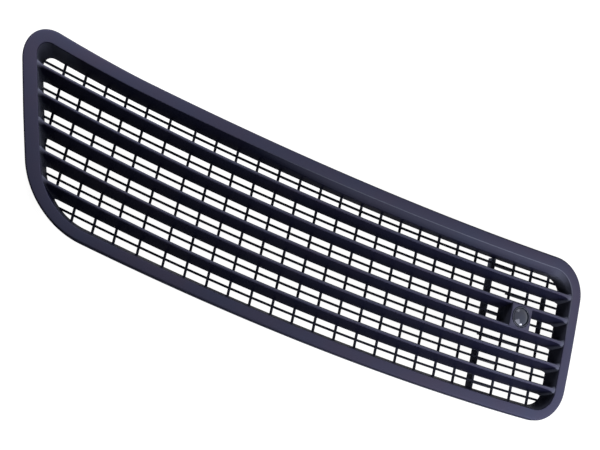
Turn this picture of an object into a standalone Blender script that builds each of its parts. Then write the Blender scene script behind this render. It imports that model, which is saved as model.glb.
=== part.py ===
"""Hood grille: one louvred plastic moulding with a wire-thin lattice behind its slats, and a round washer jet.

Metres. +Z points out of the outer face, +X runs across the hood, +Y runs along the upright bars of the lattice.
The moulding is laid out flat first: x, across (which becomes Y) and height above the outer face. It is then curved
to the hood. It lies on its rear edge, and the origin is the middle of the bottom of its bounding box.
"""
import math

import bmesh
import bpy
from mathutils import Matrix, Vector

# Surface of the hood, which the outer face follows
CROWN_RADIUS = 1.0
CROWN_APEX_X = 0.0075
SWEEP_SLOPE = -0.128
SWEEP_RADIUS = 1.77

# Outline of the rim, on the flat layout
LEFT_X = -0.2880
RIGHT_X = 0.2965
TOP_ACROSS = 0.0828
BOTTOM_ACROSS = -0.0844
EDGE_LEAN = 0.33
OUTER_RADII = {"bottom_left": 0.070, "bottom_right": 0.036, "top_right": 0.037, "top_left": 0.029}
TOP_FLARE = {"outer": 0.0038, "aperture": 0.0032, "rear": 0.0024}
FLARE_START_X = -0.190
FLARE_REACH = 0.085
END_BOW = 0.0018
END_BOW_REACH = 0.060

# Rim and skirt
RIM_WIDTH = {"left": 0.0150, "right": 0.0125, "bottom": 0.0113, "top": 0.0124}
WALL = 0.0022
SKIRT_DEPTH = 0.0070
OUTER_ROUND = 0.0024
INNER_ROUND = 0.0010
APERTURE_RADII = {"bottom_left": 0.057, "bottom_right": 0.022, "top_right": 0.025, "top_left": 0.012}

# Inner walls, from the rim down to the lattice
DEPTH = 0.0210
WALL_SLOPE = {"left": 0.0028, "right": 0.0007, "bottom": 0.0055, "top": 0.0060}
REAR_RADII = {"bottom_left": 0.050, "bottom_right": 0.018, "top_right": 0.020, "top_left": 0.010}

# Slats
SLATS = 5
END_BAYS_SHORT = 0.0005
SLATS_ABOVE_MIDDLE = 0.00075
SLAT_NOSE = 0.0034
SLAT_TAIL = 0.0020
SLAT_RAKE = 0.0060
NOSE_RECESS = 0.0006
SLAT_SEAT = 0.0006
SLAT_TWIST = 0.0182
SLAT_TWIST_START_X = -0.110
SLAT_TWIST_EASE = 0.030
END_FLARE = 0.0012
END_FLARE_REACH = 0.020

# Lattice
BARS = 25
BAR_PITCH = 0.0220
MIDDLE_BAR = 13
OUTER_BARS = 5
OUTER_PITCH = 0.0212
WIDE_CELLS = (0.0238, 0.0256)
BAR_WIDTH = 0.0024
WIRE_WIDTH = 0.0020
LATTICE_THICKNESS = 0.0019
LATTICE_REAR_GAP = 0.0003

# Stiffening ribs behind the lattice, near the jet
STIFF_BAR = 22
STIFF_BAR_EXTRA = 0.0020
STIFF_RIB_DEPTH = 0.0090
STIFF_RIB_GAP = (-0.020, 0.003)
SIDE_BAR = 25
SIDE_RIB_DEPTH = 0.0040
HOSE_CLIP_WIDTH = 0.0080
RUNG_DEPTH = 0.0050
RUNG_BAYS = ((0, 1, 2, 3, 5), (2, 4))
RIB_WIDTH = 0.0017

# Boss and washer jet
BOSS_X = 0.2272
BOSS_WIDTH = 0.0243
BOSS_PROUD = 0.0002
BOSS_DRAFT = 0.0012
BOSS_CORNER = 0.0010
SOCKET_RADIUS = 0.0106
SOCKET_DEPTH = 0.0090
SOCKET_FLOOR = 0.0020
BORE_RADIUS = 0.0042
CLEARANCE = 0.0003
DOME_RADIUS = 0.0082
DOME_RISE = 0.0022
JET_COLLAR_WIDTH = 0.0014
JET_COLLAR_PROUD = 0.0006
JET_GROOVE_DEPTH = 0.0012
NIPPLE_RADIUS = 0.0030
NIPPLE_LENGTH = 0.0170
TURN_STEPS = 24

# Clips under the rim
CLIP_X = (-0.190, -0.060, 0.070, 0.180)
CLIP_WIDTH = 0.0120
CLIP_THICKNESS = 0.0020
CLIP_LENGTH = 0.0170
CLIP_HOOK = 0.0022
CLIP_HOOK_HEIGHT = 0.0050

# Mesh
WELD = 0.000002
FLAT_ANGLE = 0.003
SPARE_LENGTH = 0.015
ARC_STEPS = 8
SIDE_STEPS = 4
LONG_STEPS = 21


def clear_scene():
    for old in list(bpy.data.objects):
        bpy.data.objects.remove(old, do_unlink=True)


def collection(name):
    made = bpy.data.collections.new(name)
    bpy.context.scene.collection.children.link(made)
    return made


def principled(name, colour, roughness, specular):
    material = bpy.data.materials.new(name)
    material.use_nodes = True
    shader = material.node_tree.nodes["Principled BSDF"]
    shader.inputs["Base Color"].default_value = (*colour, 1.0)
    shader.inputs["Roughness"].default_value = roughness
    shader.inputs["Specular IOR Level"].default_value = specular
    shader.inputs["Metallic"].default_value = 0.0
    return material


def new_object(name, bm, home, material=None):
    bmesh.ops.recalc_face_normals(bm, faces=bm.faces)
    mesh = bpy.data.meshes.new(name)
    bm.to_mesh(mesh)
    bm.free()
    made = bpy.data.objects.new(name, mesh)
    home.objects.link(made)
    if material:
        mesh.materials.append(material)
    return made


def ruling_lean(x):
    """How far the hood's straight rulings lean at x: along the slanted left edge there, upright at the right."""
    return EDGE_LEAN * (RIGHT_X - x) / (RIGHT_X - LEFT_X)


def hood_slope(x, across):
    return -(x + ruling_lean(x) * across - CROWN_APEX_X) / CROWN_RADIUS


def on_hood(x, across, height):
    """Place of a point of the flat layout on the curved grille; depth runs square to the crown."""
    slope = hood_slope(x, across)
    normal = math.hypot(1.0, slope)
    y = SWEEP_SLOPE * x + x * x / (2.0 * SWEEP_RADIUS) + across
    z = -CROWN_RADIUS * slope * slope / 2.0
    return Vector((x - height * slope / normal, y, z + height / normal))


def frame_on_hood(x, across, height):
    """Matrix of a rigid piece seated at a point: its Z is the way out of the outer face."""
    slope = hood_slope(x, across)
    out = Vector((-slope, 0.0, 1.0)).normalized()
    along = Vector((0.0, 1.0, 0.0)).cross(out)
    turn = Matrix((along, Vector((0.0, 1.0, 0.0)), out)).transposed()
    return Matrix.Translation(on_hood(x, across, height)) @ turn.to_4x4()


def curve_to_hood(bm):
    for vertex in bm.verts:
        vertex.co = on_hood(*vertex.co)


def edges_moved(edges, inset):
    """Edges of an outline moved inwards by the same width all round, or outwards if it is negative."""
    return {
        "left": edges["left"] + inset * math.hypot(1.0, EDGE_LEAN),
        "right": edges["right"] - inset,
        "bottom": edges["bottom"] + inset,
        "top": edges["top"] - inset,
        "radii": {corner: radius - inset for corner, radius in edges["radii"].items()},
        "flare": edges["flare"],
    }


OUTER = {
    "left": LEFT_X,
    "right": RIGHT_X,
    "bottom": BOTTOM_ACROSS,
    "top": TOP_ACROSS,
    "radii": OUTER_RADII,
    "flare": TOP_FLARE["outer"],
}
APERTURE = {
    "left": LEFT_X + RIM_WIDTH["left"] * math.hypot(1.0, EDGE_LEAN),
    "right": RIGHT_X - RIM_WIDTH["right"],
    "bottom": BOTTOM_ACROSS + RIM_WIDTH["bottom"],
    "top": TOP_ACROSS - RIM_WIDTH["top"],
    "radii": APERTURE_RADII,
    "flare": TOP_FLARE["aperture"],
}
REAR = {
    "left": APERTURE["left"] + WALL_SLOPE["left"],
    "right": APERTURE["right"] - WALL_SLOPE["right"],
    "bottom": APERTURE["bottom"] + WALL_SLOPE["bottom"],
    "top": APERTURE["top"] - WALL_SLOPE["top"],
    "radii": REAR_RADII,
    "flare": TOP_FLARE["rear"],
}


# The slats share out the height of the opening
SLAT_PITCH = (APERTURE["top"] - APERTURE["bottom"] + END_BAYS_SHORT) / (SLATS + 1)
MIDDLE_ACROSS = (APERTURE["top"] + APERTURE["bottom"]) / 2.0 + SLATS_ABOVE_MIDDLE


def outline(edges, height):
    """Closed loop of points round an outline: four straight edges and four round corners."""
    def left_at(across):
        return edges["left"] - EDGE_LEAN * across

    corners = (
        ("bottom_left", Vector((left_at(edges["bottom"]), edges["bottom"])), LONG_STEPS),
        ("bottom_right", Vector((edges["right"], edges["bottom"])), SIDE_STEPS),
        ("top_right", Vector((edges["right"], edges["top"])), LONG_STEPS),
        ("top_left", Vector((left_at(edges["top"]), edges["top"])), SIDE_STEPS),
    )
    arcs = []
    for index, (name, corner, steps) in enumerate(corners):
        before = (corner - corners[index - 1][1]).normalized()
        after = (corners[(index + 1) % 4][1] - corner).normalized()
        turn = before.angle(after)
        radius = edges["radii"][name]
        start = corner - before * radius * math.tan(turn / 2.0)
        centre = start + Vector((-before.y, before.x)) * radius
        spoke = start - centre
        arc = []
        for step in range(ARC_STEPS + 1):
            angle = turn * step / ARC_STEPS
            cos, sin = math.cos(angle), math.sin(angle)
            arc.append(centre + Vector((spoke.x * cos - spoke.y * sin, spoke.x * sin + spoke.y * cos)))
        arcs.append((arc, steps))
    points = []
    for index, (arc, steps) in enumerate(arcs):
        points.extend(arc)
        following = arcs[(index + 1) % 4][0][0]
        for step in range(1, steps):
            points.append(arc[-1].lerp(following, step / steps))
    return [Vector((p.x - bow_at(p), p.y + flare_at(p, edges["flare"]), height)) for p in points]


def flare_at(point, flare):
    """The top edge rises a little towards the outer top corner."""
    if point.y <= 0.0 or point.x >= FLARE_START_X:
        return 0.0
    return flare * ((FLARE_START_X - point.x) / FLARE_REACH) ** 1.5 * point.y / TOP_ACROSS


def bow_at(point):
    """The right end is slightly bowed: widest in the middle, less towards both corners."""
    along = (point.x - (RIGHT_X - END_BOW_REACH)) / END_BOW_REACH
    if along <= 0.0:
        return 0.0
    return END_BOW * along * (point.y / (0.5 * (TOP_ACROSS - BOTTOM_ACROSS))) ** 2


def loft(bm, loops, closed):
    """Skins a row of loops with the same number of points; a closed row joins its last loop to its first."""
    rings = [[bm.verts.new(point) for point in loop] for loop in loops]
    pairs = list(zip(rings, rings[1:]))
    if closed:
        pairs.append((rings[-1], rings[0]))
    else:
        bm.faces.new(rings[0])
        bm.faces.new(rings[-1])
    for ring, following in pairs:
        for index in range(len(ring)):
            other = (index + 1) % len(ring)
            bm.faces.new((ring[index], ring[other], following[other], following[index]))


def make_shell(home):
    """Skirt, rim and inner walls, as one closed section carried round the outline."""
    under = -WALL
    loops = [
        outline(edges_moved(OUTER, 0.0), -SKIRT_DEPTH),
        outline(edges_moved(OUTER, 0.0), -OUTER_ROUND),
        outline(edges_moved(OUTER, OUTER_ROUND * 0.3), -OUTER_ROUND * 0.3),
        outline(edges_moved(OUTER, OUTER_ROUND), 0.0),
        outline(edges_moved(APERTURE, -INNER_ROUND), 0.0),
        outline(edges_moved(APERTURE, -INNER_ROUND * 0.3), -INNER_ROUND * 0.3),
        outline(APERTURE, -INNER_ROUND),
        outline(REAR, -DEPTH),
        outline(edges_moved(REAR, -WALL), -DEPTH),
        outline(edges_moved(APERTURE, -WALL), under),
        outline(edges_moved(OUTER, WALL), under),
        outline(edges_moved(OUTER, WALL), -SKIRT_DEPTH),
    ]
    bm = bmesh.new()
    loft(bm, loops, closed=True)
    bmesh.ops.triangulate(bm, faces=bm.faces)
    return new_object("shell", bm, home)


def make_core(home):
    """Space inside the middle of the inner walls: slats and lattice are trimmed to it, so they end in the walls."""
    half = WALL / 2.0
    bm = bmesh.new()
    loft(bm, [outline(edges_moved(APERTURE, -half), WALL), outline(edges_moved(REAR, -half), -DEPTH - WALL)],
         closed=False)
    bmesh.ops.triangulate(bm, faces=bm.faces)
    return new_object("core", bm, home)


def bar_x(index):
    """Middle of an upright bar, counted from the left from 1; two cells are wider than the rest."""
    first_even = OUTER_BARS + len(WIDE_CELLS)
    x = BAR_PITCH * (max(index, first_even) - MIDDLE_BAR)
    if index < first_even:
        x -= sum(WIDE_CELLS[max(index, OUTER_BARS) - OUTER_BARS:])
    if index < OUTER_BARS:
        x -= OUTER_PITCH * (OUTER_BARS - index)
    if index > STIFF_BAR:
        x += STIFF_BAR_EXTRA
    return x


def cell_middles():
    """Middles of the cells between the upright bars, with an end on either side beyond the walls."""
    inner = [(bar_x(index) + bar_x(index + 1)) / 2.0 for index in range(0, BARS + 1)]
    return [inner[0] - BAR_PITCH] + inner + [inner[-1] + BAR_PITCH / 2.0]


def slat_stations():
    """Places along a slat where it bends: every second cell, and close together where it meets the right end."""
    flare_x = APERTURE["right"] - END_FLARE_REACH
    middles = [x for x in cell_middles()[::2] if x < flare_x - BAR_PITCH / 4.0]
    return middles + [flare_x, APERTURE["right"] - END_FLARE_REACH / 3.0, cell_middles()[-1]]


def slat_twist(x):
    """How far a slat's nose rises over its tail towards the left end, where the slats lean over more."""
    reach = SLAT_TWIST_START_X - x
    return SLAT_TWIST * (reach + math.hypot(reach, SLAT_TWIST_EASE)) / 2.0


def slat_flare(x):
    """How far the underside of a nose drops where it runs into the right end of the rim."""
    reach = (x - (APERTURE["right"] - END_FLARE_REACH)) / END_FLARE_REACH
    return END_FLARE * max(reach, 0.0) ** 2


def slat_across(index):
    """Middle of a slat's nose; slat 0 is the top one."""
    return MIDDLE_ACROSS + SLAT_PITCH * ((SLATS - 1) / 2.0 - index)


def wire_across(index):
    """Middle of a cross wire, half-way between two slats; wire 0 is the lowest."""
    return MIDDLE_ACROSS + SLAT_PITCH * (index - SLATS / 2.0)


def slat_section():
    """Section of a slat about the middle of its nose: across, height."""
    half = SLAT_NOSE / 2.0
    tail = -DEPTH + LATTICE_REAR_GAP + LATTICE_THICKNESS - SLAT_SEAT
    round_off = half * math.sin(math.radians(45))
    return [
        (-half, -NOSE_RECESS - half),
        (-round_off, -NOSE_RECESS - half + round_off),
        (0.0, -NOSE_RECESS),
        (round_off, -NOSE_RECESS - half + round_off),
        (half, -NOSE_RECESS - half),
        (-SLAT_RAKE + SLAT_TAIL, tail),
        (-SLAT_RAKE, tail),
    ]


def make_slat(index, home):
    across = slat_across(index)
    section = slat_section()
    loops = []
    for x in slat_stations():
        loop = []
        for a, h in section:
            lean = slat_twist(x) * (1.0 + h / DEPTH)
            if a < 0.0:
                lean -= slat_flare(x) * (1.0 + h / DEPTH)
            loop.append(Vector((x, across + a + lean, h)))
        loops.append(loop)
    bm = bmesh.new()
    loft(bm, loops, closed=False)
    return new_object(f"slat_{index}", bm, home)


def make_lattice(home):
    """Upright bars and thin cross wires in one plane, cut from a grid of cells and thickened."""
    columns = [cell_middles()[0]]
    for index in range(1, BARS + 1):
        columns += [bar_x(index) - BAR_WIDTH / 2.0, bar_x(index) + BAR_WIDTH / 2.0]
    columns.append(cell_middles()[-1])
    rows = [BOTTOM_ACROSS]
    for index in range(SLATS + 1):
        middle = wire_across(index)
        rows += [middle - WIRE_WIDTH / 2.0, middle + WIRE_WIDTH / 2.0]
    rows.append(TOP_ACROSS)
    front = -DEPTH + LATTICE_REAR_GAP + LATTICE_THICKNESS
    bm = bmesh.new()
    grid = {}

    def corner(i, j):
        if (i, j) not in grid:
            grid[i, j] = bm.verts.new((columns[i], rows[j], front))
        return grid[i, j]

    for i in range(len(columns) - 1):
        for j in range(len(rows) - 1):
            if i % 2 == 1 or j % 2 == 1:
                bm.faces.new((corner(i, j), corner(i + 1, j), corner(i + 1, j + 1), corner(i, j + 1)))
    faces = bmesh.ops.extrude_face_region(bm, geom=list(bm.faces))
    moved = [item for item in faces["geom"] if isinstance(item, bmesh.types.BMVert)]
    bmesh.ops.translate(bm, verts=moved, vec=(0.0, 0.0, -LATTICE_THICKNESS))
    return new_object("lattice", bm, home)


def make_box(name, low, high, home):
    bm = bmesh.new()
    size = Vector(high) - Vector(low)
    middle = (Vector(high) + Vector(low)) / 2.0
    bmesh.ops.create_cube(bm, size=1.0, matrix=Matrix.Translation(middle) @ Matrix.Diagonal((*size, 1.0)))
    return new_object(name, bm, home)


def make_stiff_ribs(home):
    """Deeper ribs behind the lattice near the jet: uprights, a clip for the hose, and rungs between the uprights."""
    front = -DEPTH + LATTICE_THICKNESS
    stiff_x, side_x = bar_x(STIFF_BAR), bar_x(SIDE_BAR)
    half = RIB_WIDTH / 2.0
    ends = WALL / 2.0
    spans = ((REAR["bottom"] - ends, STIFF_RIB_GAP[0]), (STIFF_RIB_GAP[1], REAR["top"] + ends))
    ribs = [make_box(f"stiff_upright_{low > 0.0}", (stiff_x - half, low, -DEPTH - STIFF_RIB_DEPTH),
                     (stiff_x + half, high, front), home) for low, high in spans]
    tail_middle = SLAT_TAIL / 2.0 - SLAT_RAKE
    clip_low, clip_high = slat_across(1) + tail_middle, slat_across(0) + tail_middle
    ribs.append(make_box("side_upright", (side_x - half, slat_across(2), -DEPTH - SIDE_RIB_DEPTH),
                         (side_x + half, clip_high, front), home))
    ribs.append(make_box("hose_clip", (side_x - half - HOSE_CLIP_WIDTH, clip_low, -DEPTH - SIDE_RIB_DEPTH / 2.0),
                         (side_x, clip_high - half, front - LATTICE_THICKNESS / 3.0), home))
    for offset, bays in enumerate(RUNG_BAYS):
        left, right = bar_x(STIFF_BAR + offset), bar_x(STIFF_BAR + offset + 1)
        for bay in bays:
            low, high = wire_across(bay) - WIRE_WIDTH / 3.0, wire_across(bay) + WIRE_WIDTH / 3.0
            ribs.append(make_box(f"rung_{offset}_{bay}", (left, low, -DEPTH - RUNG_DEPTH), (right, high, front),
                                 home))
    return ribs


def boolean(target, tool, operation):
    modifier = target.modifiers.new(operation.lower(), "BOOLEAN")
    modifier.operation = operation
    modifier.solver = "EXACT"
    if isinstance(tool, bpy.types.Collection):
        modifier.operand_type = "COLLECTION"
        modifier.collection = tool
    else:
        modifier.object = tool
    return modifier


def weld(bm):
    """Merges what a boolean left closer together than the weld distance, and splits the faces into triangles."""
    bmesh.ops.remove_doubles(bm, verts=bm.verts, dist=WELD)
    bmesh.ops.dissolve_degenerate(bm, dist=WELD, edges=bm.edges)
    bmesh.ops.triangulate(bm, faces=bm.faces, quad_method="SHORT_EDGE")


def is_flat(edge):
    return len(edge.link_faces) == 2 and edge.calc_face_angle() < FLAT_ANGLE


def is_spare(vertex):
    """True for a vertex in the middle of a short straight edge, where nothing bends."""
    sharp = [edge for edge in vertex.link_edges if not is_flat(edge)]
    if len(sharp) != 2 or sum(edge.calc_length() for edge in sharp) > SPARE_LENGTH:
        return False
    first, last = (edge.other_vert(vertex).co - vertex.co for edge in sharp)
    return first.normalized().dot(last.normalized()) < -math.cos(FLAT_ANGLE)


def drop_spare_vertices(bm):
    bm.verts.index_update()
    spare = [vertex for vertex in bm.verts if is_spare(vertex)]
    indices = {vertex.index for vertex in spare}
    edges = [edge for edge in bm.edges if is_flat(edge) and indices.intersection(v.index for v in edge.verts)]
    bmesh.ops.dissolve_limit(bm, angle_limit=2.0 * FLAT_ANGLE, use_dissolve_boundaries=False, verts=spare,
                             edges=edges)
    bmesh.ops.triangulate(bm, faces=bm.faces, quad_method="SHORT_EDGE")


def applied_mesh(made, curve=False):
    """Puts an object's booleans into its mesh, as clean triangles; curved to the hood and lightened if asked."""
    bpy.context.view_layer.update()
    evaluated = made.evaluated_get(bpy.context.evaluated_depsgraph_get())
    bm = bmesh.new()
    bm.from_mesh(evaluated.to_mesh())
    evaluated.to_mesh_clear()
    weld(bm)
    if curve:
        drop_spare_vertices(bm)
        curve_to_hood(bm)
    bm.to_mesh(made.data)
    bm.free()
    made.modifiers.clear()
    made.data.update()


def hide(objects):
    for item in objects:
        item.hide_render = True
        item.display_type = "WIRE"


def make_boss(home):
    """Square tower between the second and third slats, with slightly drafted walls."""
    top = BOSS_PROUD
    bottom = -DEPTH - WALL / 2.0
    half_x = BOSS_WIDTH / 2.0
    half_y = SLAT_PITCH / 2.0
    bm = bmesh.new()
    loops = []
    for height, grow in ((bottom, BOSS_DRAFT), (top - BOSS_CORNER / 2.0, 0.0), (top, -BOSS_CORNER / 2.0)):
        loop = []
        for sx, sy in ((1, 1), (-1, 1), (-1, -1), (1, -1)):
            x, y = sx * (half_x + grow), sy * (half_y + grow)
            cut_first = (-sx * BOSS_CORNER, 0.0) if sx * sy < 0 else (0.0, -sy * BOSS_CORNER)
            cut_last = (0.0, -sy * BOSS_CORNER) if sx * sy < 0 else (-sx * BOSS_CORNER, 0.0)
            loop.append(Vector((x + cut_first[0], y + cut_first[1], height)))
            loop.append(Vector((x + cut_last[0], y + cut_last[1], height)))
        loops.append(loop)
    loft(bm, loops, closed=False)
    boss = new_object("boss", bm, home)
    boss.matrix_world = boss_frame()
    return boss


def boss_frame():
    return frame_on_hood(BOSS_X, MIDDLE_ACROSS + SLAT_PITCH / 2.0, 0.0)


def make_cylinder(name, radius, low, high, steps, home, matrix):
    bm = bmesh.new()
    middle = Matrix.Translation((0.0, 0.0, (low + high) / 2.0))
    bmesh.ops.create_cone(bm, cap_ends=True, segments=steps, radius1=radius, radius2=radius, depth=high - low,
                          matrix=middle)
    made = new_object(name, bm, home)
    made.matrix_world = matrix
    return made


def make_clip(index, x, side, home):
    """Snap clip under the rim: a flat tongue with a wedge on its outer side. Side is 1 at the top, -1 below."""
    if side > 0:
        middle = TOP_ACROSS - RIM_WIDTH["top"] / 2.0
    else:
        middle = BOTTOM_ACROSS + RIM_WIDTH["bottom"] / 2.0
    half = CLIP_THICKNESS / 2.0
    end = -CLIP_LENGTH
    profile = [(-half, -WALL / 2.0), (-half, end), (half, end), (half + CLIP_HOOK, end + CLIP_HOOK_HEIGHT / 2.0),
               (half, end + CLIP_HOOK_HEIGHT), (half, -WALL / 2.0)]
    loops = [[Vector((dx, side * a, h)) for a, h in profile] for dx in (-CLIP_WIDTH / 2.0, CLIP_WIDTH / 2.0)]
    bm = bmesh.new()
    loft(bm, loops, closed=False)
    clip = new_object(f"clip_{index}", bm, home)
    clip.matrix_world = frame_on_hood(x, middle, 0.0)
    return clip


def make_grille(parts, tools, material):
    flat = collection("grille_flat_tools")
    shell = make_shell(parts)
    shell.name = "grille"
    core = make_core(tools)
    lattice = make_lattice(tools)
    louvres = collection("grille_louvres")
    slats = [make_slat(index, louvres) for index in range(SLATS)]
    boolean(lattice, louvres, "UNION")
    boolean(lattice, core, "INTERSECT")
    ribs = make_stiff_ribs(flat)
    boolean(lattice, flat, "UNION")
    boolean(shell, lattice, "UNION")
    applied_mesh(shell, curve=True)

    rigid = collection("grille_fittings")
    fittings = [make_boss(rigid)]
    number = 0
    for side in (1, -1):
        for x in CLIP_X:
            number += 1
            fittings.append(make_clip(number, x, side, rigid))
    boolean(shell, rigid, "UNION")
    applied_mesh(shell)
    seat = boss_frame()
    socket = make_cylinder("socket", SOCKET_RADIUS, -SOCKET_DEPTH, SOCKET_DEPTH, TURN_STEPS, tools, seat)
    bore = make_cylinder("bore", BORE_RADIUS, -2.0 * DEPTH, 0.0, TURN_STEPS // 2, tools, seat)
    room_x, room_y = BOSS_WIDTH / 2.0 - WALL, SLAT_PITCH / 2.0 - WALL
    hose_room = make_box("hose_room", (-room_x, -room_y, -2.0 * DEPTH),
                         (room_x, room_y, -SOCKET_DEPTH - SOCKET_FLOOR), tools)
    hose_room.matrix_world = seat
    for cutter in (socket, bore, hose_room):
        boolean(shell, cutter, "DIFFERENCE")
        applied_mesh(shell)
    hide([core, lattice, socket, bore, hose_room] + slats + ribs + fittings)
    shell.data.materials.clear()
    shell.data.materials.append(material)
    return shell


def make_jet(parts, material):
    """Turned insert: collar, groove and dome at the front, a hose nipple behind."""
    collar = SOCKET_RADIUS - CLEARANCE
    floor = -SOCKET_DEPTH + CLEARANCE
    dome = [(DOME_RADIUS * math.sin(math.radians(angle)),
             DOME_RISE * (math.cos(math.radians(angle)))) for angle in (0, 20, 40, 60, 78, 90)]
    profile = dome + [
        (DOME_RADIUS, -JET_GROOVE_DEPTH),
        (collar - JET_COLLAR_WIDTH, -JET_GROOVE_DEPTH),
        (collar - JET_COLLAR_WIDTH, JET_COLLAR_PROUD),
        (collar, JET_COLLAR_PROUD - JET_COLLAR_WIDTH / 3.0),
        (collar, floor),
        (NIPPLE_RADIUS, floor),
        (NIPPLE_RADIUS, floor - NIPPLE_LENGTH),
        (0.0, floor - NIPPLE_LENGTH),
    ]
    mesh = bpy.data.meshes.new("washer_jet")
    mesh.from_pydata([(x, 0.0, z) for x, z in profile], [(i, i + 1) for i in range(len(profile) - 1)], [])
    jet = bpy.data.objects.new("washer_jet", mesh)
    parts.objects.link(jet)
    turn = jet.modifiers.new("turn", "SCREW")
    turn.axis = "Z"
    turn.steps = TURN_STEPS
    turn.render_steps = TURN_STEPS
    turn.use_merge_vertices = True
    turn.merge_threshold = 0.00001
    jet.matrix_world = boss_frame()
    mesh.materials.append(material)
    return jet


def seat_on_ground(objects):
    """Moves the whole grille so that the middle of the bottom of its box is the origin."""
    bpy.context.view_layer.update()
    corners = [objects[0].matrix_world @ Vector(corner) for corner in objects[0].bound_box]
    low = Vector(min(c[axis] for c in corners) for axis in range(3))
    high = Vector(max(c[axis] for c in corners) for axis in range(3))
    shift = Vector(((low.x + high.x) / 2.0, (low.y + high.y) / 2.0, low.z))
    for item in objects:
        item.matrix_world = Matrix.Translation(-shift) @ item.matrix_world


def main():
    clear_scene()
    parts = collection("hood_grille")
    tools = collection("hood_grille_cutters")
    grille = make_grille(parts, tools, principled("grained_plastic", (0.035, 0.036, 0.055), 0.55, 0.4))
    jet = make_jet(parts, principled("gloss_plastic", (0.05, 0.052, 0.07), 0.15, 0.6))
    seat_on_ground([grille, jet])
    return grille, jet


main()
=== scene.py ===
"""Hood grille: rim with inner walls, louvres, a lattice behind them, the jet with its boss, ribs and clips.

Everything is laid out flat first, as x, across and height above the outer face, and then bent to the hood.
"""
import math

import bmesh
import bpy
from mathutils import Matrix, Vector


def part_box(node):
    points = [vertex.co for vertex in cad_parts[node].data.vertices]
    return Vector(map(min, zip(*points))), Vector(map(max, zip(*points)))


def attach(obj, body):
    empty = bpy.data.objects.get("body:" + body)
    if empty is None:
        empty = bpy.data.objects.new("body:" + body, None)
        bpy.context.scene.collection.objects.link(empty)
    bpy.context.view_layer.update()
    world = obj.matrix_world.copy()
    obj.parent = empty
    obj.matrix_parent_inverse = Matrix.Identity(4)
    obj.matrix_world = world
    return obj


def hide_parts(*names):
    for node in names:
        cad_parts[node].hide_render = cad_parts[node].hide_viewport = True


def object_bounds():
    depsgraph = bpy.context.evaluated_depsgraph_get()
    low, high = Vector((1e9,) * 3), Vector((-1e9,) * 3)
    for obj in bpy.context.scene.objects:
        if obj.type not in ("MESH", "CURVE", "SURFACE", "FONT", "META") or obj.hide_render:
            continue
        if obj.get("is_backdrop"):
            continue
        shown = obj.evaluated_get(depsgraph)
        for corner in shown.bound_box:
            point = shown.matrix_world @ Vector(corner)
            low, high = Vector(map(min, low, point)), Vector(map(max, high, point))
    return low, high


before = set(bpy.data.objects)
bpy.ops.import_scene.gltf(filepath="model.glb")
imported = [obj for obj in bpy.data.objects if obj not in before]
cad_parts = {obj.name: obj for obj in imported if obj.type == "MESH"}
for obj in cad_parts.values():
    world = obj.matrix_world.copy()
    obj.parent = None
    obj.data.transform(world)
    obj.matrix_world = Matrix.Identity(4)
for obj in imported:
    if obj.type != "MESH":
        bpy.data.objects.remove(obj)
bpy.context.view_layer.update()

# Hood that the outer face follows
CROWN_RADIUS = 1.0
CROWN_APEX_X = 0.0075
SWEEP_SLOPE = -0.128
SWEEP_RADIUS = 1.77

# Outline of the rim, laid flat
LEFT_X = -0.2880
RIGHT_X = 0.2965
TOP_ACROSS = 0.0828
BOTTOM_ACROSS = -0.0844
EDGE_LEAN = 0.33
OUTER_RADII = {"bottom_left": 0.070, "bottom_right": 0.036, "top_right": 0.037, "top_left": 0.029}
APERTURE_RADII = {"bottom_left": 0.057, "bottom_right": 0.022, "top_right": 0.025, "top_left": 0.012}
REAR_RADII = {"bottom_left": 0.050, "bottom_right": 0.018, "top_right": 0.020, "top_left": 0.010}
RIM_WIDTH = {"left": 0.0150, "right": 0.0125, "bottom": 0.0113, "top": 0.0124}
WALL_SLOPE = {"left": 0.0028, "right": 0.0007, "bottom": 0.0055, "top": 0.0060}
TOP_FLARE = {"outer": 0.0038, "aperture": 0.0032, "rear": 0.0024}
FLARE_START_X = -0.190
FLARE_REACH = 0.085
FLARE_POWER = 1.5
END_BOW = 0.0018
END_BOW_REACH = 0.060
WALL = 0.0022
SKIRT_DEPTH = 0.0070
OUTER_ROUND = 0.0024
INNER_ROUND = 0.0010
DEPTH = 0.0210
BACK = -DEPTH + 0.00003
FINISH_INSET = 0.00015
OUTER_ROUND_STEPS = 7
MOUTH_STEPS = 7

# Shoulder of the top wall
SHOULDER_HEIGHT = 0.0060
SHOULDER_ROUND = 0.0012
SHOULDER_START_X = -0.120
SHOULDER_REACH = 0.150
SHOULDER_FADE = 0.020
TOP_OF_WALL = -1.4 * INNER_ROUND
TOP_OF_WALL_GATHERED = 0.13
SHOULDER_GATHERED = 0.93

# How far places are painted lighter: painted highlights down the mouth of the rim and on the slat noses,
# painted light on the walls at the two ends
CREST_HIGHLIGHT = (0.1, 0.4, 0.9, 0.9, 0.4, 0.2, 0.15, 0.15, 0.1)
END_WALL_LOOPS = range(7, 13)
END_WALL_LIGHT = 0.40
END_WALL_START_X = 0.250
END_WALL_REACH = 0.015
NOSE_HIGHLIGHT = 0.6

# Louvres
SLATS = 5
SLAT_PITCH = 0.0240
MIDDLE_ACROSS = -0.0006
SLAT_NOSE = 0.0034
SLAT_TAIL = 0.0020
SLAT_RAKE = 0.0060
NOSE_RECESS = 0.0006
SLAT_TWIST = 0.0182
SLAT_TWIST_START_X = -0.110
SLAT_TWIST_EASE = 0.030
SLAT_SEAT = 0.0006
SLAT_FILLET = 0.0022
SLAT_FLARE = 0.0012
SLAT_FLARE_REACH = 0.020
SLAT_STATIONS = 96
NOSE_STEPS = 12
FACE_MARGIN = 0.05

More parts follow.
